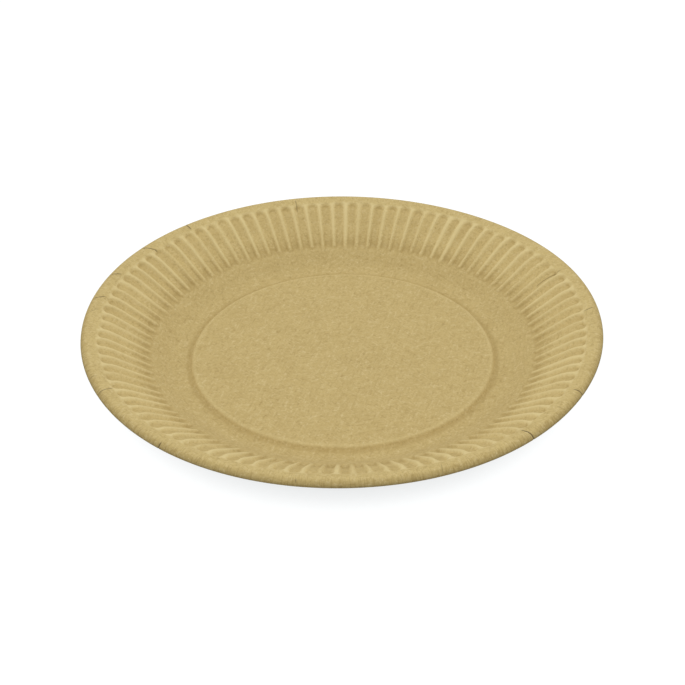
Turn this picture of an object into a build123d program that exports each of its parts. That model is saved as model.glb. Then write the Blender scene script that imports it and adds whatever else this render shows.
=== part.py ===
from build123d import *
import math
import os

os.makedirs("parts", exist_ok=True)

# Overall sizes, in millimetres and degrees
plate_diameter = 230.0
plate_height = 20.7
board_thickness = 0.45

# Raised round centre, and the flat ring round it that the plate rests on
centre_rise = 1.1
centre_slope_width = 2.2
resting_ring_width = 3.7

# Wall, with a concave bend below it and a convex shoulder above it
wall_angle = 33.5
bend_radius = 12.0
shoulder_radius = 20.0

# Rim, smooth outside the flutes and rolled down at its edge
smooth_rim_width = 7.0
rim_roll_radius = 3.0
rim_roll_angle = 68.0

# Flutes, pressed through the wall: widths are measured at their outer ends
flute_count = 100
flute_depth = 0.9
groove_width = 3.2
ridge_width = 1.2
inner_end_length = 4.5
outer_end_length = 2.2

# Flat facets that each curve of the section is divided into
bend_facets = 3
shoulder_facets = 2
roll_facets = 3

# Radii and heights that follow from the sizes above
slope = math.radians(wall_angle)
roll_end = math.radians(rim_roll_angle)
crest_radius = plate_diameter / 2 - rim_roll_radius * math.sin(roll_end)
straight_rise = plate_height - board_thickness - (bend_radius + shoulder_radius) * (1 - math.cos(slope))
wall_start_radius = crest_radius - shoulder_radius * math.sin(slope) - straight_rise / math.tan(slope)
floor_radius = wall_start_radius - bend_radius * math.sin(slope)
centre_radius = floor_radius - resting_ring_width
flute_end_radius = plate_diameter / 2 - smooth_rim_width
flute_end_slope = math.asin((crest_radius - flute_end_radius) / shoulder_radius)

# Angles round the plate, from the middle of a groove
pitch = 2 * math.pi / flute_count
groove_edge = groove_width / flute_end_radius / 2
ridge_edge = pitch / 2 - ridge_width / flute_end_radius / 2


def bend_point(angle, depth):
    """Radius and height on the bend where the section leans by angle, depth below the upper face."""
    reach = bend_radius + depth
    return floor_radius + reach * math.sin(angle), board_thickness + bend_radius - reach * math.cos(angle)


def shoulder_point(angle, depth):
    """The same on the shoulder, where an angle of zero is the crest."""
    reach = shoulder_radius - depth
    return crest_radius - reach * math.sin(angle), plate_height - shoulder_radius + reach * math.cos(angle)


def roll_point(angle, depth):
    """The same on the rolled edge, outside the crest."""
    reach = rim_roll_radius - depth
    return crest_radius + reach * math.sin(angle), plate_height - rim_roll_radius + reach * math.cos(angle)


def steps(first, last, count):
    """Evenly spaced values from first to last."""
    return [first + (last - first) * step / count for step in range(count + 1)]


def spot(section_point, turn):
    """Point in space of a section's radius and height, turned about the axis."""
    radius, height = section_point
    return Vector(radius * math.cos(turn), radius * math.sin(turn), height)


def facet(*corners):
    """Flat face with the given corners."""
    return Face(Wire([Edge.make_line(a, b) for a, b in zip(corners, corners[1:] + corners[:1])]))


def band(section_points):
    """One flute's width of a smooth part of the section."""
    rows = [(spot(point, -pitch / 2), spot(point, pitch / 2)) for point in section_points]
    return [facet(a, b, d, c) for (a, b), (c, d) in zip(rows, rows[1:])]


def flute_row(place, angle, depth):
    """Corners of one flute across the wall: ridge edge, groove, ridge edge, and the next ridge edge."""
    ridge, groove = place(angle, depth), place(angle, depth + flute_depth)
    turns = ((ridge, -ridge_edge), (groove, -groove_edge), (groove, groove_edge), (ridge, ridge_edge))
    return [spot(point, turn) for point, turn in turns] + [spot(ridge, pitch - ridge_edge)]


def straight_wall_row(from_start, depth):
    """Flute row on the straight wall, at a level distance from where the bend ends."""
    def place(angle, sunk):
        radius, height = bend_point(angle, sunk)
        return radius + from_start, height + from_start * math.tan(slope)
    return flute_row(place, slope, depth)


def flute_end(section_point, row):
    """Facets that bring a row of the flute back to the smooth section at section_point."""
    before, after = spot(section_point, -pitch / 2), spot(section_point, pitch / 2)
    left_ridge, left_groove, right_groove, right_ridge, next_ridge = row
    return [
        facet(before, left_groove, right_groove, after),
        facet(before, left_ridge, left_groove),
        facet(after, right_groove, right_ridge),
        facet(after, right_ridge, next_ridge),
    ]


def flute_length(lower_row, upper_row):
    """Groove, ridge and the two flanks of a flute between two rows."""
    faces = []
    for index in range(len(lower_row) - 1):
        lower = Edge.make_line(lower_row[index], lower_row[index + 1])
        upper = Edge.make_line(upper_row[index], upper_row[index + 1])
        faces.append(Face.make_surface_from_curves(lower, upper))
    return faces


def wall_sector(depth):
    """One flute's width of the wall and rim, depth below the upper face."""
    outer_angle = math.asin((crest_radius - flute_end_radius + outer_end_length) / shoulder_radius)
    rows = [straight_wall_row(inner_end_length, depth)]
    for angle in steps(slope, outer_angle, shoulder_facets):
        rows.append(flute_row(shoulder_point, angle, depth))
    faces = band([bend_point(angle, depth) for angle in steps(0, slope, bend_facets)])
    faces += flute_end(bend_point(slope, depth), rows[0])
    for lower_row, upper_row in zip(rows, rows[1:]):
        faces += flute_length(lower_row, upper_row)
    faces += flute_end(shoulder_point(flute_end_slope, depth), rows[-1])
    faces += band([shoulder_point(flute_end_slope, depth), shoulder_point(0, depth)])
    faces += band([roll_point(angle, depth) for angle in steps(0, roll_end, roll_facets)])
    return faces


def cut_edge():
    """One flute's width of the board's cut edge, at the end of the rolled rim."""
    return band([roll_point(roll_end, 0), roll_point(roll_end, board_thickness)])


def floor_faces(depth):
    """Resting ring, sloping step and raised centre, depth below the upper face."""
    level = board_thickness - depth
    step_angle = math.atan2(centre_rise, centre_slope_width)
    foot_radius = centre_radius - depth * math.tan(step_angle / 2)
    top_radius = foot_radius - centre_slope_width
    corners = [spot((floor_radius, level), (index + 0.5) * pitch) for index in range(flute_count)]
    outline = Wire([Edge.make_line(a, b) for a, b in zip(corners, corners[1:] + corners[:1])])
    foot = Wire([Edge.make_circle(foot_radius, Plane.XY.offset(level))])
    top = Wire([Edge.make_circle(top_radius, Plane.XY.offset(level + centre_rise))])
    step = Face.revolve(Edge.make_line((top_radius, 0, level + centre_rise), (foot_radius, 0, level)), 360, Axis.Z)
    return [Face(outline, [foot]), step, Face(top)]


sector = wall_sector(0) + wall_sector(board_thickness) + cut_edge()
faces = [place * face for place in PolarLocations(0, flute_count) for face in sector]
faces += floor_faces(0) + floor_faces(board_thickness)
plate = Solid(Shell(faces))
export_step(plate, "parts/plate.step", write_pcurves=False)
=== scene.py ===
import math
import bpy
import numpy as np
from mathutils import Matrix, Vector


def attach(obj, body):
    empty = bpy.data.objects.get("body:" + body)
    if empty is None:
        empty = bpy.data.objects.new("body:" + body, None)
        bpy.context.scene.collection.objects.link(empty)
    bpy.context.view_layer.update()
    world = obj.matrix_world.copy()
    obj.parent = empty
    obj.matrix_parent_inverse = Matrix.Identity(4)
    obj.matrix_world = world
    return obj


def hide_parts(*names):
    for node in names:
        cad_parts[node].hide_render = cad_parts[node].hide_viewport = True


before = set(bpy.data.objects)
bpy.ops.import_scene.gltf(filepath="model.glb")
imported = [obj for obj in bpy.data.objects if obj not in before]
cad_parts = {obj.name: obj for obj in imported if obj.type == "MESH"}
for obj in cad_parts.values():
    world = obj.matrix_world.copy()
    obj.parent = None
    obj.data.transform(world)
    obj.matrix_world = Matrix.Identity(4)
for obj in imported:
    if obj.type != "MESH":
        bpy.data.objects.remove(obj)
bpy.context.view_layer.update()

scene = bpy.context.scene
scene.view_settings.view_transform = "Standard"
mm = 0.001

# The plate, pressed from one sheet of board. Lengths are in millimetres and turns in degrees from +X.
pressedBoard = {
    "edgeRadius": 115.0,
    "height": 20.3,
    "thickness": 0.45,
    # raised centre
    "stepFoot": 69.0,       # outer end of the slope round the raised centre
    "stepAngle": 57.0,
    "stepRound": 2.2,       # radius of the slope's upper edge
    "stepHollow": 1.4,      # and of the hollow at its foot
    "stepShift": (0.2, -0.35),
    # wall and rim
    "wallAngle": 33.0,
    "bendRadius": 12.0,
    "shoulderRadius": 19.0,
    "rimHollow": 0.45,      # a shallow dip inside the raised edge, at rimHollowAt
    "rimHollowAt": 106.4,
    "rimHollowHalf": 5.6,
    "rollRadius": 3.0,
    "rollAngle": 80.0,
    # flutes
    "fluteCount": 100,
    "fluteTurn": 0.2,       # middle of the first groove
    "fluteDepth": 1.1,
    "ridgeHalf": 0.42,      # half width of a ridge's rounded top
    "flank": 1.3,           # width of the slope from ridge to groove
    "fluteEnd": 108.2,      # outer end of the grooves
    "ridgeNose": 85.8,      # inner end of the ridges
    "sinkStart": 83.0,      # the board begins to sink here, and the grooves are at full depth at sinkFull
    "sinkFull": 87.5,
    "ridgeSpread": 0.25,    # how much the flutes differ: share of a ridge's width
    "noseSpread": 0.6,      # length of the ridges' inner ends
    "endSpread": 0.3,       # length of the grooves' outer ends
    "depthSpread": 0.14,    # share of a groove's depth
    "wornSpread": 0.12,     # how far worn ridges are pressed down
    "paintedShadingSpread": 0.3,      # share of the painted highlight and shade
    "grooveShadeSpread": 0.25,    # and of the painted shade on a groove's floor
    "tellEnds": 95.0,       # inside it the ridges' noses shape the flutes, outside it the grooves' ends
    # painted shade and highlight: how strong each is, from 0 to 1
    "grooveSideShade": 0.6,
    "fluteEndShade": 0.5,
    "stepFootShade": 0.58,
    "stepEdgeHighlight": 0.40,
    "paintedEdgeShade": 0.30,
    "grooveFloorShade": 0.30,
    "seed": 7,
    # how closely the rows of points lie, as the radius that a run of rows reaches and their number
    "floorEnd": 76.0,
    "wallRows": [(82.5, 6), (89.0, 10), (103.0, 6), (109.2, 13)],
    "crestRows": 5,
    "rollRows": 9,
    "ringRows": [75.2, 74.0, 72.6],
    "footRows": [2.4, 1.6, 0.9, 0.4],       # outside the step's foot
    "slopeRows": (3.4, 14),
    "centreRows": [65.2, 63.0, 59.0, 52.0, 44.0, 36.0, 28.0, 20.0, 12.0, 5.0],
    "undersideShare": 0.6,                  # the underside has fewer rows
    # rise and fall of the rim round the plate: cosine and sine parts of one to four waves
    "rimWaves": [(-0.26, -0.99), (0.75, -0.31), (0.21, 0.15), (0.22, 0.01)],
    "waveWidth": 37.0,      # over which the waves grow, from floorEnd
    # pressed-in creases of the rim: turn and radius at the inner and outer end, depth, strength of the
    # painted shade in the crease
    "creases": [
        (131.3, 109.0, 131.1, 115.2, 0.22, 0.94),
        (144.0, 107.2, 145.9, 113.5, 0.24, 1.00),
        (158.2, 109.4, 159.6, 113.6, 0.22, 1.00),
        (168.6, 108.9, 170.2, 113.6, 0.22, 0.88),
        (174.6, 110.5, 175.9, 112.6, 0.10, 0.38),
        (-159.0, 112.2, -158.8, 114.6, 0.10, 0.31),
        (-153.3, 108.2, -153.0, 114.6, 0.20, 0.69),
        (-130.2, 113.4, -130.3, 115.2, 0.25, 1.00),
        (-99.6, 113.2, -99.5, 114.2, 0.15, 0.69),
        (-69.8, 110.6, -70.3, 114.6, 0.12, 0.38),
        (-48.7, 109.0, -48.2, 115.2, 0.30, 1.00),
        (-37.4, 110.8, -37.3, 112.6, 0.10, 0.38),
        (-30.1, 111.2, -29.9, 115.2, 0.24, 0.94),
        (2.1, 108.2, 2.8, 112.0, 0.15, 0.62),
        (21.85, 98.0, 21.05, 108.6, 0.30, 0.55),
        (101.5, 104.0, 101.4, 111.0, 0.12, 0.50),
    ],
    "creaseHalf": 0.42,     # half width of a crease
    "creaseStart": 90.0,    # no crease lies inside this radius
}


def smooth(t):
    t = np.clip(t, 0.0, 1.0)
    return t * t * (3 - 2 * t)


def rising(value, start, width):
    # 0 up to start, and 1 from there plus width
    return smooth((value - start) / width)


def falling(value, end, width):
    # 1 up to end less width, and 0 from end
    return smooth((end - value) / width)


def near(value, middle, width):
    return np.exp(-((value - middle) / width) ** 2)


def crestRadius():
    p = pressedBoard
    return p["edgeRadius"] - p["rollRadius"] * math.sin(math.radians(p["rollAngle"]))


def stepRow(radius):
    # the raised centre, its rounded edge, the hollow at the foot of its slope, and the flat ring
    p = pressedBoard
    steep = math.radians(p["stepAngle"])
    hollowStart = p["stepFoot"] - p["stepHollow"] * math.sin(steep)
    roundStart = hollowStart - p["stepRound"] * math.sin(steep)
    rise = (p["stepRound"] + p["stepHollow"]) * (1 - math.cos(steep))
    if radius >= p["stepFoot"]:
        return radius, p["thickness"], 0.0
    if radius >= hollowStart:
        lean = math.asin((p["stepFoot"] - radius) / p["stepHollow"])
        return radius, p["thickness"] + p["stepHollow"] * (1 - math.cos(lean)), -lean
    if radius >= roundStart:
        lean = math.asin((radius - roundStart) / p["stepRound"])
        return radius, p["thickness"] + rise - p["stepRound"] * (1 - math.cos(lean)), -lean
    return radius, p["thickness"] + rise, 0.0


def sectionRow(radius):
    # radius, height and lean of the upper face, inside the crest
    p = pressedBoard
    slope = math.radians(p["wallAngle"])
    crest = crestRadius()
    curvedRise = (p["bendRadius"] + p["shoulderRadius"]) * (1 - math.cos(slope))
    straightRise = p["height"] - p["thickness"] - curvedRise
    shoulderStart = crest - p["shoulderRadius"] * math.sin(slope)
    wallStart = shoulderStart - straightRise / math.tan(slope)
    floorEnd = wallStart - p["bendRadius"] * math.sin(slope)
    if radius <= floorEnd:
        return stepRow(radius)
    if radius <= wallStart:
        lean = math.asin((radius - floorEnd) / p["bendRadius"])
        return radius, p["thickness"] + p["bendRadius"] * (1 - math.cos(lean)), lean
    if radius <= shoulderStart:
        start = p["thickness"] + p["bendRadius"] * (1 - math.cos(slope))
        return radius, start + (radius - wallStart) * math.tan(slope), slope
    lean = math.asin(min(1.0, (crest - radius) / p["shoulderRadius"]))
    return radius, p["height"] - p["shoulderRadius"] * (1 - math.cos(lean)), lean


def rollRow(angle):
    # a point of the rolled edge, where the board leans down by angle
    p = pressedBoard
    return (crestRadius() + p["rollRadius"] * math.sin(angle),
            p["height"] - p["rollRadius"] * (1 - math.cos(angle)), -angle)


def spaced(first, last, count):
    return list(np.linspace(first, last, count + 1)[1:])


def wallRows(share):
    # rows from the flat ring out to the cut edge; share thins them out for the underside
    p = pressedBoard
    runs = p["wallRows"] + [(crestRadius(), p["crestRows"])]
    radii = [p["floorEnd"]]
    for end, count in runs:
        radii += spaced(radii[-1], end, max(2, round(count * share)))
    rollCount = max(2, round(p["rollRows"] * share))
    rolled = [rollRow(a) for a in spaced(0.0, math.radians(p["rollAngle"]), rollCount)]
    return np.array([sectionRow(r) for r in radii] + rolled)


def floorRows():
    p = pressedBoard
    foot = p["stepFoot"]
    width, count = p["slopeRows"]
    radii = p["ringRows"] + [foot + out for out in p["footRows"]]
    radii += list(np.linspace(foot, foot - width, count)) + p["centreRows"]
    return np.array([sectionRow(r) for r in radii])


# six random values for each flute: ridge width, nose, end, depth, wear, strength of the painted highlight and
# shade
uneven = np.random.default_rng(pressedBoard["seed"]).normal(0.0, 1.0, (6, pressedBoard["fluteCount"]))


def grooveSink(radius, turn):
    # how far the flutes sink the board below its section, each flute a little different, and the painted
    # highlight and shade on it
    p = pressedBoard
    count = p["fluteCount"]
    pitch = 2 * math.pi / count
    place = (turn - math.radians(p["fluteTurn"])) / pitch
    groove = np.round(place).astype(int)
    ridge = np.floor(place).astype(int) % count
    across = np.abs(place - groove)
    groove = groove % count
    fromRidge = (0.5 - across) * pitch * radius
    fromGroove = across * pitch * radius
    ridgeHalf = p["ridgeHalf"] * (1 + p["ridgeSpread"] * uneven[0][ridge])
    nose = p["ridgeNose"] + p["noseSpread"] * uneven[1][ridge]
    end = p["fluteEnd"] + p["endSpread"] * uneven[2][groove]
    depth = p["fluteDepth"] * (1 + p["depthSpread"] * uneven[3][groove])
    worn = p["wornSpread"] * np.abs(uneven[4][ridge])
    noseGap = np.hypot(fromRidge, np.maximum(0.0, nose - radius)) - ridgeHalf
    half = pitch * radius / 2 - ridgeHalf
    endGap = half - np.hypot(fromGroove, np.maximum(0.0, radius - (end - half)))
    gap = np.where(radius < p["tellEnds"], noseGap, endGap)      # from the side of the nearest ridge
    begin = rising(radius, p["sinkStart"], p["sinkFull"] - p["sinkStart"])
    reach = falling(radius, end + 0.5, 1.5)
    side = smooth(gap / p["flank"])
    sink = begin * (depth * side + worn * reach * (1 - side))
    tint = paintedFluteShading(radius, gap, fromRidge, end, reach, uneven[5][ridge], uneven[5][groove])
    return sink, tint


def paintedFluteShading(radius, gap, fromRidge, end, reach, ofRidge, ofGroove):
    # above 0 it is a painted highlight, below 0 painted shade
    p = pressedBoard
    # painted highlight along the ridges' tops
    pale = (1 - rising(gap, -0.4, 1.8)) * reach * rising(radius, 84.0, 3.0)
    pale = pale * (1 + p["paintedShadingSpread"] * ofRidge) * (0.5 + 0.5 * rising(radius, 86.0, 9.0))
    # painted shade on the grooves' floors
    floor = rising(gap, 0.9, 0.8) * reach * rising(radius, 94.0, 5.0) * (1 + p["grooveShadeSpread"] * ofGroove)
    # painted shade along the grooves' sides, and round the flutes' inner ends
    rounded = 0.4 + 0.6 * rising(radius, end - 4.0, 3.0)
    foot = near(gap, 1.4, 0.5) * rising(radius, 98.0, 8.0) * rounded
    endShade = near(radius, 87.0, 1.9) * rising(fromRidge, 0.3, 1.3) * (1 + p["paintedShadingSpread"] * ofGroove)
    endShade = endShade + near(gap, 0.9, 0.45) * falling(radius, 95.0, 5.0) * rising(radius, 83.5, 2.0)
    return pale - p["grooveSideShade"] * foot - p["fluteEndShade"] * endShade - p["grooveFloorShade"] * floor


def paintedStepShading(radius):
    # painted shade in the hollow at the step's foot, and a painted highlight along its rounded upper edge
    p = pressedBoard
    dark = near(radius, p["stepFoot"] + 0.2, 0.95)
    pale = near(radius, p["stepFoot"] - 2.2, 1.0)
    return p["stepEdgeHighlight"] * pale - p["stepFootShade"] * dark


def rimLift(radius, turn):
    # the waves grow from the floor's edge outwards, and the rim has its shallow dip
    p = pressedBoard
    lift = sum(c * np.cos(k * turn) + s * np.sin(k * turn) for k, (c, s) in enumerate(p["rimWaves"], 1))
    lift = lift * np.clip((radius - p["floorEnd"]) / p["waveWidth"], 0.0, 1.1)
    inDip = 1.0 - np.abs(radius - p["rimHollowAt"]) / p["rimHollowHalf"]
    return lift - p["rimHollow"] * smooth(inDip)


def halfTurn(angle):
    # the same angle, between minus and plus half a turn
    return (angle + math.pi) % (2 * math.pi) - math.pi


def creasedTurns(radius, turns):
    # moves columns of points onto each crease, and says how deep they are and how much painted shade they get
    # there
    turns, depth, dark = turns.copy(), np.zeros(len(turns)), np.zeros(len(turns))
    for turnIn, radiusIn, turnOut, radiusOut, deep, shade in pressedBoard["creases"]:
        pull = rising(radius, radiusIn - 2.5, 2.0) * falling(radius, radiusOut + 3.0, 2.0)
        if pull == 0.0:
            continue
        share = np.clip((radius - radiusIn) / (radiusOut - radiusIn), 0.0, 1.0)
        aim = math.radians(turnIn + (turnOut - turnIn) * share)
        home = math.radians((turnIn + turnOut) / 2)
        middle = int(np.argmin(np.abs(halfTurn(turns - home))))
        apart = pressedBoard["creaseHalf"] / radius
        for step, place in ((-2, -2.6), (-1, -1.0), (0, 0.0), (1, 1.0), (2, 2.6)):
            column = (middle + step) % len(turns)
            turns[column] += pull * halfTurn(aim + place * apart - turns[column])
        along = rising(radius, radiusIn - 0.6, 1.2) * falling(radius, radiusOut + 0.6, 1.2)
        depth[middle] = deep * along
        dark[middle] = shade * along
    return turns, depth, dark


def ringOfPoints(row, turns, below):
    # one row of the mesh; below is the board's thickness for the underside
    p = pressedBoard
    radius, height, lean = row
    crease, dark = 0.0, np.zeros(len(turns))
    if radius > p["creaseStart"]:
        turns, crease, dark = creasedTurns(radius, turns)
    radii = np.full(len(turns), radius)
    if radius > p["floorEnd"]:
        sink, tint = grooveSink(radii, turns)
    else:
        sink, tint = 0.0, np.full(len(turns), paintedStepShading(radius))
    # painted shade along the last strip of the rolled edge
    dark = np.maximum(dark, p["paintedEdgeShade"] * rising(radius, p["edgeRadius"] - 0.35, 0.35))
    down = sink + crease + below
    reach = radii + math.sin(lean) * down
    level = height - math.cos(lean) * down + rimLift(radii, turns)
    shift = (1.0 - rising(radius, p["stepFoot"], 6.0)) * np.array(p["stepShift"])
    spots = np.stack([reach * np.cos(turns) + shift[0], reach * np.sin(turns) + shift[1], level], axis=1)
    return spots, dark, tint


def fluteTurns():
    # ten columns to a flute, closer together at the ridge
    count = pressedBoard["fluteCount"]
    steps = np.array([0.0, 0.15, 0.27, 0.37, 0.44, 0.5, 0.56, 0.63, 0.73, 0.85])
    turns = (np.arange(count)[:, None] + steps[None, :]).ravel() * 2 * math.pi / count
    return turns + math.radians(pressedBoard["fluteTurn"])


def pressPlate():
    outerTurns = fluteTurns()
    fan = 4                                     # outer columns to one column of the plain floor
    innerTurns = outerTurns[::fan]
    points, darks, tints, faces, marks = [], [], [], [], []

    def addRing(ring):
        first = sum(len(p) for p in points)
        points.append(ring[0])
        darks.append(ring[1])
        tints.append(ring[2])
        return np.arange(first, first + len(ring[0]))

    def addFaces(new, flip, mark):
        faces.extend(face[::-1] if flip else face for face in new)
        marks.extend([mark] * len(new))

    def joinRings(outer, inner, flip, mark):
        quads = list(zip(outer, np.roll(outer, -1), np.roll(inner, -1), inner))
        addFaces(quads, flip, mark)

    ends = []
    for below, share in ((0.0, 1.0), (pressedBoard["thickness"], pressedBoard["undersideShare"])):
        flip = below > 0
        rings = [addRing(ringOfPoints(row, outerTurns, below)) for row in wallRows(share)[::-1]]
        ends.append(rings[0])
        for outer, inner in zip(rings, rings[1:]):
            joinRings(outer, inner, flip, 0)
        floorRings = [addRing(ringOfPoints(row, innerTurns, below)) for row in floorRows()]
        outer, inner = rings[-1], floorRings[0]
        for i in range(len(inner)):
            run = [outer[(i * fan + k) % len(outer)] for k in range(fan + 1)]
            here, after, half = inner[i], inner[(i + 1) % len(inner)], fan // 2
            corners = [(run[k], run[k + 1], here) for k in range(half)] + [(run[half], after, here)]
            addFaces(corners + [(run[k], run[k + 1], after) for k in range(half, fan)], flip, 0)
        for outer, inner in zip(floorRings, floorRings[1:]):
            joinRings(outer, inner, flip, 0)
        shift = pressedBoard["stepShift"]
        centre = np.array([[shift[0], shift[1], sectionRow(0.0)[1] - below]])
        middle = addRing((centre, np.zeros(1), np.zeros(1)))[0]
        last = floorRings[-1]
        addFaces([(a, b, middle) for a, b in zip(last, np.roll(last, -1))], flip, 0)
    joinRings(ends[1], ends[0], False, 1)

    mesh = bpy.data.meshes.new("pressedBoard")
    allPoints = np.concatenate(points) * mm
    mesh.from_pydata(allPoints.tolist(), [], [tuple(int(i) for i in face) for face in faces])
    mesh.validate()
    mesh.polygons.foreach_set("material_index", marks)
    mesh.polygons.foreach_set("use_smooth", [True] * len(marks))
    mesh.set_sharp_from_angle(angle=math.radians(60))
    for name, values in (("creaseAndEdgeShade", darks), ("paintedFluteShading", tints)):
        mesh.attributes.new(name, "FLOAT", "POINT").data.foreach_set("value", np.concatenate(values))
    board = bpy.data.objects.new("pressedBoard", mesh)
    scene.collection.objects.link(board)
    print("pressed board:", len(allPoints), "points,", sum(len(f) - 2 for f in faces), "triangles")
    return board


kraftFinish = {
    "tone": (0.535, 0.408, 0.174),
    "wallPaintedLight": (0.606, 0.471, 0.206),      # painted light: the wall and rim are a little paler
    "rimPaintedLight": (0.590, 0.460, 0.200),
    "rollPaintedShade": (0.505, 0.383, 0.153),      # painted shade: the rolled edge is a little deeper
    "paleFibre": (0.72, 0.60, 0.34),
    # painted highlight on the ridges' tops and painted shade in the grooves
    "darkFibre": (0.30, 0.20, 0.062),
    "ridge": (0.700, 0.575, 0.290),
    "groove": (0.40, 0.285, 0.105),
    # painted shade in the creases and on the rolled edge's last strip
    "crease": (0.085, 0.055, 0.025),
    "roughness": 0.88,
    "wallZone": (84.0, 98.0),               # radii between which each tone comes in
    "rimZone": (105.5, 109.0),
    "rollZone": (112.0, 114.6),
    "markZone": (108.5, 112.5),
    "cloudScale": 0.09,
    "grainScale": 1.1,
    "fibres": ((14.0, 1.25), (73.0, 1.10), (131.0, 1.40)),      # turn and scale of three layers
    "fibreStretch": 4.0,
    "markStretch": (240.0, 0.25),           # round the rim and outwards
    "grainDepth": 0.20,
    "fibreDepth": 0.30,
    "cloudDepth": 0.11,
    "markDepth": 0.36,
    "bump": 0.5,
}


def newFinish(name):
    finish = bpy.data.materials.new(name)
    finish.use_nodes = True
    tree = finish.node_tree
    tree.nodes.clear()
    return finish, tree, tree.nodes.new("ShaderNodeOutputMaterial")


def addNode(tree, kind, **values):
    node = tree.nodes.new(kind)
    for key, value in values.items():
        if hasattr(node, key):
            setattr(node, key, value)
        else:
            node.inputs[key].default_value = value
    return node


def boardPoint(tree):
    # the point on the board, in millimetres
    place = addNode(tree, "ShaderNodeTexCoord")
    scale = addNode(tree, "ShaderNodeVectorMath", operation="SCALE")
    scale.inputs["Scale"].default_value = 1000.0
    tree.links.new(place.outputs["Object"], scale.inputs[0])
    return scale.outputs[0]


def noiseOf(tree, point, scale, detail, rough, stretch=None, angle=0.0):
    if stretch:
        mapping = addNode(tree, "ShaderNodeMapping", vector_type="TEXTURE")
        mapping.inputs["Rotation"].default_value = (0.0, 0.0, math.radians(angle))
        mapping.inputs["Scale"].default_value = (stretch, 1.0, 1.0)
        tree.links.new(point, mapping.inputs["Vector"])
        point = mapping.outputs[0]
    noise = addNode(tree, "ShaderNodeTexNoise", Scale=scale, Detail=detail, Roughness=rough)
    tree.links.new(point, noise.inputs["Vector"])
    return noise.outputs["Fac"]


def ranged(tree, value, low, high, toLow=0.0, toHigh=1.0):
    node = addNode(tree, "ShaderNodeMapRange")
    for name, number in (("From Min", low), ("From Max", high), ("To Min", toLow), ("To Max", toHigh)):
        node.inputs[name].default_value = number
    tree.links.new(value, node.inputs["Value"])
    return node.outputs[0]


def blendColours(tree, share, first, second):
    node = addNode(tree, "ShaderNodeMix", data_type="RGBA")
    for socket, value in ((node.inputs[6], first), (node.inputs[7], second)):
        if isinstance(value, tuple):
            socket.default_value = (*value, 1.0)
        else:
            tree.links.new(value, socket)
    tree.links.new(share, node.inputs[0])
    return node.outputs[2]


def mathNode(tree, operation, first, second):
    node = addNode(tree, "ShaderNodeMath", operation=operation)
    for socket, value in zip(node.inputs, (first, second)):
        if isinstance(value, float):
            socket.default_value = value
        else:
            tree.links.new(value, socket)
    return node.outputs[0]


def weightedSum(tree, first, second, weight):
    node = addNode(tree, "ShaderNodeMath", operation="MULTIPLY_ADD")
    tree.links.new(second, node.inputs[0])
    node.inputs[1].default_value = weight
    tree.links.new(first, node.inputs[2])
    return node.outputs[0]


def radiusOf(tree, point):
    flat = addNode(tree, "ShaderNodeVectorMath", operation="MULTIPLY")
    flat.inputs[1].default_value = (1.0, 1.0, 0.0)
    length = addNode(tree, "ShaderNodeVectorMath", operation="LENGTH")
    tree.links.new(point, flat.inputs[0])
    tree.links.new(flat.outputs[0], length.inputs[0])
    return length.outputs["Value"]


def aroundPoint(tree, point, radius):
    # distance round the rim and out from the middle, stretched so that marks run outwards
    axes = addNode(tree, "ShaderNodeSeparateXYZ")
    tree.links.new(point, axes.inputs[0])
    turn = mathNode(tree, "ARCTAN2", axes.outputs["Y"], axes.outputs["X"])
    place = addNode(tree, "ShaderNodeCombineXYZ")
    tree.links.new(mathNode(tree, "MULTIPLY", turn, kraftFinish["markStretch"][0]), place.inputs["X"])
    tree.links.new(mathNode(tree, "MULTIPLY", radius, kraftFinish["markStretch"][1]), place.inputs["Y"])
    return place.outputs[0]


def paperShader(tree, out, colour, height, roughness, bump):
    paper = addNode(tree, "ShaderNodeBsdfPrincipled")
    paper.inputs["Roughness"].default_value = roughness
    paper.inputs["Specular IOR Level"].default_value = 0.2
    tree.links.new(colour, paper.inputs["Base Color"])
    relief = addNode(tree, "ShaderNodeBump", Strength=bump, Distance=0.0001)
    tree.links.new(height, relief.inputs["Height"])
    tree.links.new(relief.outputs[0], paper.inputs["Normal"])
    tree.links.new(paper.outputs[0], out.inputs["Surface"])


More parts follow.
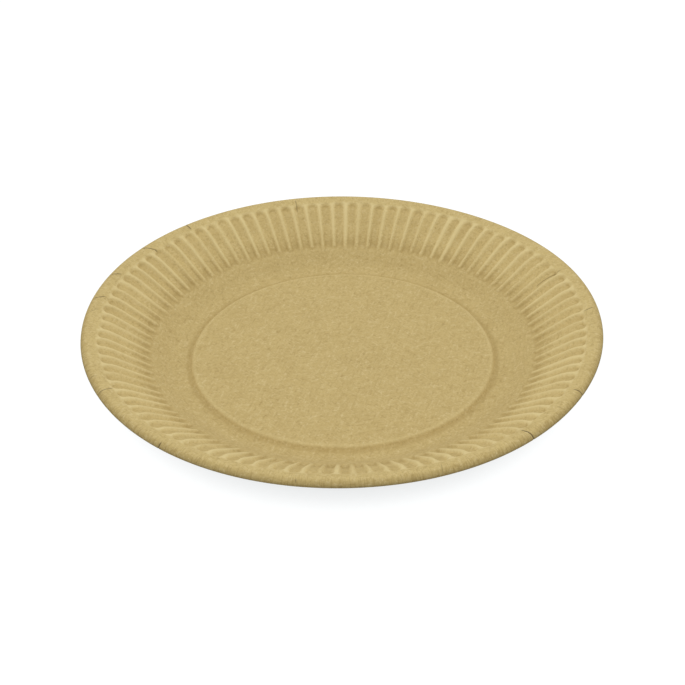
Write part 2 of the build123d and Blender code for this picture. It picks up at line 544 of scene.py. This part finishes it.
def kraftBoard():
    f = kraftFinish
    finish, tree, out = newFinish("kraftBoard")
    point = boardPoint(tree)
    radius = radiusOf(tree, point)
    # painted light: paler tones on the wall and rim
    colour = blendColours(tree, ranged(tree, radius, *f["wallZone"]), f["tone"], f["wallPaintedLight"])
    colour = blendColours(tree, ranged(tree, radius, *f["rimZone"]), colour, f["rimPaintedLight"])
    # painted shade: a deeper tone on the rolled edge
    colour = blendColours(tree, ranged(tree, radius, *f["rollZone"]), colour, f["rollPaintedShade"])
    cloud = noiseOf(tree, point, f["cloudScale"], 3.0, 0.55)
    colour = blendColours(tree, ranged(tree, cloud, 0.35, 0.7, 0.0, f["cloudDepth"]), colour, f["darkFibre"])
    grain = noiseOf(tree, point, f["grainScale"], 3.0, 0.55)
    colour = blendColours(tree, ranged(tree, grain, 0.52, 0.75, 0.0, f["grainDepth"]), colour, f["paleFibre"])
    colour = blendColours(tree, ranged(tree, grain, 0.48, 0.25, 0.0, f["grainDepth"]), colour, f["darkFibre"])
    height = grain
    for angle, scale in f["fibres"]:
        fibre = noiseOf(tree, point, scale, 2.0, 0.5, f["fibreStretch"], angle)
        pale = ranged(tree, fibre, 0.58, 0.72, 0.0, f["fibreDepth"])
        dark = ranged(tree, fibre, 0.42, 0.28, 0.0, f["fibreDepth"])
        colour = blendColours(tree, pale, colour, f["paleFibre"])
        colour = blendColours(tree, dark, colour, f["darkFibre"])
        height = weightedSum(tree, height, fibre, 0.8)
    # painted highlight on the ridges, painted shade in the grooves and round the flutes' ends
    tint = addNode(tree, "ShaderNodeAttribute", attribute_name="paintedFluteShading").outputs["Fac"]
    colour = blendColours(tree, ranged(tree, tint, 0.0, 1.0, 0.0, 0.8), colour, f["ridge"])
    colour = blendColours(tree, ranged(tree, tint, 0.0, -1.0, 0.0, 0.8), colour, f["groove"])
    marks = addNode(tree, "ShaderNodeTexNoise", noise_dimensions="2D", Scale=1.0, Detail=1.0)
    tree.links.new(aroundPoint(tree, point, radius), marks.inputs["Vector"])
    onRoll = ranged(tree, radius, *f["markZone"])
    strong = ranged(tree, marks.outputs["Fac"], 0.50, 0.68, 0.0, f["markDepth"])
    mark = mathNode(tree, "MULTIPLY", onRoll, strong)
    colour = blendColours(tree, mark, colour, f["darkFibre"])
    # painted shade in the creases and on the rolled edge's last strip
    dark = addNode(tree, "ShaderNodeAttribute", attribute_name="creaseAndEdgeShade")
    colour = blendColours(tree, dark.outputs["Fac"], colour, f["crease"])
    paperShader(tree, out, colour, height, f["roughness"], f["bump"])
    return finish


# painted shade: the cut edge is coloured dark
cutEdgePaintedShade = {"tone": (0.27, 0.24, 0.17), "dark": (0.22, 0.19, 0.12), "roughness": 0.92, "bump": 0.6}


def cutEdge():
    f = cutEdgePaintedShade
    finish, tree, out = newFinish("cutBoardEdgePaintedShade")
    layers = noiseOf(tree, boardPoint(tree), 2.4, 4.0, 0.6)
    colour = blendColours(tree, ranged(tree, layers, 0.35, 0.65), f["tone"], f["dark"])
    paperShader(tree, out, colour, layers, f["roughness"], f["bump"])
    return finish


plate = pressPlate()
plate.data.materials.append(kraftBoard())
plate.data.materials.append(cutEdge())
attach(plate, "root")
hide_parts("plate")
print("board and cut edge finished")

whiteTable = {
    "half": 3.0,                            # metres
    "white": (0.92, 0.90, 0.87),            # what the table's shadows take away
    "glow": (1.085, 1.10, 1.105),           # what the camera sees of its light
    "glowShare": 0.90,
    "nearDark": 0.80,                       # and how far the shade close to the plate takes it down
    "nearReach": 0.020,
    "nearRange": (0.28, 0.70),              # openness at which that shade is full, and at which it ends
    "bounce": 0.15,                         # how much light it throws back on the plate
}


def seenRays(tree):
    # 1 for what the camera sees, straight or in a gloss, and 0 for light that falls on the plate
    path = addNode(tree, "ShaderNodeLightPath")
    seen = mathNode(tree, "MAXIMUM", path.outputs["Is Camera Ray"], path.outputs["Is Glossy Ray"])
    return mathNode(tree, "MAXIMUM", seen, path.outputs["Is Transmission Ray"])


def layTable():
    half = whiteTable["half"]
    mesh = bpy.data.meshes.new("whiteTable")
    corners = [(-half, -half, 0), (half, -half, 0), (half, half, 0), (-half, half, 0)]
    mesh.from_pydata(corners, [], [(0, 1, 2, 3)])
    table = bpy.data.objects.new("whiteTable", mesh)
    scene.collection.objects.link(table)
    finish, tree, out = newFinish("tableWhite")
    seen = seenRays(tree)
    diffuse = addNode(tree, "ShaderNodeBsdfDiffuse")
    white = blendColours(tree, seen, (whiteTable["bounce"],) * 3, whiteTable["white"])
    tree.links.new(white, diffuse.inputs["Color"])
    glow = addNode(tree, "ShaderNodeEmission")
    glow.inputs["Color"].default_value = (*whiteTable["glow"], 1.0)
    mix = addNode(tree, "ShaderNodeMixShader")
    tree.links.new(ranged(tree, seen, 0.0, 1.0, 0.0, whiteTable["glowShare"]), mix.inputs[0])
    tree.links.new(diffuse.outputs[0], mix.inputs[1])
    tree.links.new(glow.outputs[0], mix.inputs[2])
    # painted shadow: the glow is darkened where the plate closes over the table
    close = addNode(tree, "ShaderNodeAmbientOcclusion", samples=16, Distance=whiteTable["nearReach"])
    strength = ranged(tree, close.outputs["AO"], *whiteTable["nearRange"], whiteTable["nearDark"], 1.0)
    tree.links.new(strength, glow.inputs["Strength"])
    tree.links.new(mix.outputs[0], out.inputs["Surface"])
    table.data.materials.append(finish)


# Soft light all round: azimuth (0 is the front, 90 the right), elevation, narrowness, strength, colour
warmLight, coolLight = (1.0, 0.975, 0.88), (1.0, 1.005, 1.01)
softSky = [
    (0.0, 84.0, 8.0, 1.11, warmLight),
    (45.0, 30.0, 5.0, 0.40, coolLight),
    (90.0, 33.0, 4.5, 1.56, coolLight),
    (135.0, 30.0, 5.0, 0.2, coolLight),
    (180.0, 26.0, 5.0, 0.52, coolLight),
    (225.0, 30.0, 5.0, 0.25, coolLight),
    (270.0, 33.0, 4.5, 1.48, coolLight),
    (315.0, 30.0, 5.0, 0.50, coolLight),
]


def lightSky():
    world = bpy.data.worlds.new("softSky")
    scene.world = world
    world.use_nodes = True
    tree = world.node_tree
    tree.nodes.clear()
    out = addNode(tree, "ShaderNodeOutputWorld")
    way = addNode(tree, "ShaderNodeTexCoord").outputs["Generated"]
    total = None
    for azimuth, elevation, power, strength, tint in softSky:
        turn, rise = math.radians(azimuth), math.radians(elevation)
        lean = addNode(tree, "ShaderNodeVectorMath", operation="DOT_PRODUCT")
        level = math.cos(rise)
        lean.inputs[1].default_value = (math.sin(turn) * level, -math.cos(turn) * level, math.sin(rise))
        tree.links.new(way, lean.inputs[0])
        patch = mathNode(tree, "POWER", mathNode(tree, "MAXIMUM", lean.outputs["Value"], 0.0), power)
        glow = addNode(tree, "ShaderNodeVectorMath", operation="SCALE")
        glow.inputs[0].default_value = tuple(strength * c for c in tint)
        tree.links.new(patch, glow.inputs["Scale"])
        if total is None:
            total = glow.outputs[0]
        else:
            both = addNode(tree, "ShaderNodeVectorMath", operation="ADD")
            tree.links.new(total, both.inputs[0])
            tree.links.new(glow.outputs[0], both.inputs[1])
            total = both.outputs[0]
    sky = addNode(tree, "ShaderNodeBackground", Strength=1.0)
    tree.links.new(total, sky.inputs["Color"])
    white = addNode(tree, "ShaderNodeBackground", Strength=1.0)
    white.inputs["Color"].default_value = (1.0, 1.0, 1.0, 1.0)
    mix = addNode(tree, "ShaderNodeMixShader")
    tree.links.new(seenRays(tree), mix.inputs[0])
    tree.links.new(sky.outputs[0], mix.inputs[1])
    tree.links.new(white.outputs[0], mix.inputs[2])
    tree.links.new(mix.outputs[0], out.inputs["Surface"])


photoCamera = {
    "distance": 770.3,          # from the plate's axis, in millimetres
    "elevation": 35.04,         # degrees
    "aim": (0.256, 0.0, 8.00),
    "roll": -0.016,             # radians
    "focalPixels": 1713.6,
    "framePixels": 685,
    "sensor": 36.0,
    "sees": (0.05, 20.0),       # nearest and furthest distance, in metres
}


def placeCamera():
    c = photoCamera
    tilt = math.radians(c["elevation"])
    eye = Vector((0.0, -c["distance"] * math.cos(tilt), c["distance"] * math.sin(tilt)))
    ahead = (Vector(c["aim"]) - eye).normalized()
    right = ahead.cross(Vector((0, 0, 1))).normalized()
    up = right.cross(ahead)
    turn = c["roll"]
    across = right * math.cos(turn) + up * math.sin(turn)
    up = up * math.cos(turn) - right * math.sin(turn)
    lens = bpy.data.cameras.new("photoCamera")
    lens.sensor_width = c["sensor"]
    lens.lens = lens.sensor_width * c["focalPixels"] / c["framePixels"]
    lens.clip_start, lens.clip_end = c["sees"]
    camera = bpy.data.objects.new("photoCamera", lens)
    scene.collection.objects.link(camera)
    axes = Matrix((across, up, -ahead))
    camera.matrix_world = Matrix.Translation(eye * mm) @ axes.transposed().to_4x4()
    scene.camera = camera


layTable()
lightSky()
placeCamera()
print("table, light and camera placed")
